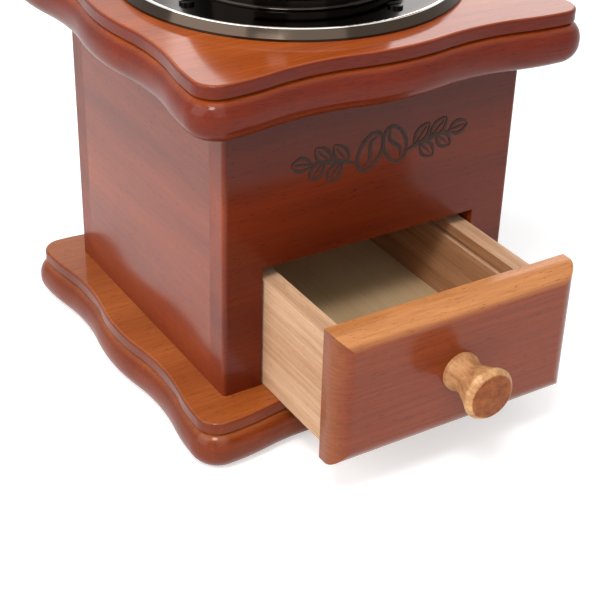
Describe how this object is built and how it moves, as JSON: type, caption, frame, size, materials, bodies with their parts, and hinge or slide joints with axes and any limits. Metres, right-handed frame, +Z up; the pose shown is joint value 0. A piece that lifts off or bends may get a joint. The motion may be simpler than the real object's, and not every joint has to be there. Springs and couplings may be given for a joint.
{
  "type": "burr coffee grinder",
  "caption": "Hand-cranked box coffee mill: scalloped wooden boards, a pull-out drawer, domed metal hopper with revolving door, conical burrs and a cranked handle.",
  "frame": {"origin": "centre of the base board's underside, on the crank axis", "axes": "+Z up along the crank axis, -Y out of the front where the drawer opens, +X to the right seen from the front"},
  "size_m": [0.1691, 0.1934, 0.2258],
  "materials": {
    "stained_wood": "red-brown stain under gloss lacquer",
    "raw_beech": "bare planed beech",
    "lacquered_beech": "turned beech under gloss lacquer",
    "drawer_ply": "thin grey-olive board",
    "dark_chrome": "black nickel plate, polished",
    "steel": "bright zinc plate",
    "cast_iron": "as cast",
    "brass": "turned"
  },
  "bodies": {
    "housing": {"base_board": "stained_wood", "top_board": "stained_wood", "front_panel": "stained_wood", "back_panel": "stained_wood", "left_panel": "stained_wood", "right_panel": "stained_wood", "drawer_runner_left": "raw_beech", "drawer_runner_right": "raw_beech", "base_screws": "steel", "hopper": "dark_chrome", "hopper_screws": "steel", "dome_bush": "brass", "bush_nut": "steel", "burr_housing": "cast_iron", "housing_screws": "steel", "burr_bridge": "cast_iron", "bridge_screws": "steel", "outer_burr": "cast_iron"},
    "washer": {"thrust_washer": "brass"},
    "adjuster": {"adjusting_nut": "brass"},
    "crank": {"shaft": "steel", "inner_burr": "cast_iron", "burr_pin": "steel", "crank_arm": "dark_chrome", "crank_nut": "dark_chrome", "knob_spindle": "steel"},
    "grip": {"crank_knob": "lacquered_beech"},
    "door": {"hopper_door": "dark_chrome", "door_knob": "dark_chrome"},
    "drawer": {"drawer_front": "stained_wood", "drawer_side_left": "raw_beech", "drawer_side_right": "raw_beech", "drawer_back": "raw_beech", "drawer_bottom": "drawer_ply", "drawer_knob": "lacquered_beech", "drawer_knob_screw": "steel"}
  },
  "joints": [
    {"name": "crank_turn", "type": "hinge", "parent": "housing", "child": "washer", "pos_m": [0, 0, 0.1765], "axis": [0, 0, 1], "continuous": true},
    {"name": "grind_adjust", "type": "hinge", "parent": "washer", "child": "adjuster", "pos_m": [0, 0, 0.1805], "axis": [0, 0, 1], "range_deg": [0, 300]},
    {"name": "burr_lift", "type": "slide", "parent": "washer", "child": "crank", "axis": [0, 0, 1], "range_m": [0, 0.00104]},
    {"name": "knob_spin", "type": "hinge", "parent": "crank", "child": "grip", "pos_m": [0.085, 0, 0.21], "axis": [0, 0, 1], "continuous": true},
    {"name": "door_swing", "type": "hinge", "parent": "housing", "child": "door", "pos_m": [0, 0, 0.174], "axis": [0, 0, 1], "range_deg": [0, 95]},
    {"name": "drawer_slide", "type": "slide", "parent": "housing", "child": "drawer", "axis": [0, -1, 0], "range_m": [-0.042, 0.04]}
  ],
  "couplings": [
    {"joint": "grind_adjust", "follows": "burr_lift", "rad_per_m": 5026.6}
  ]
}
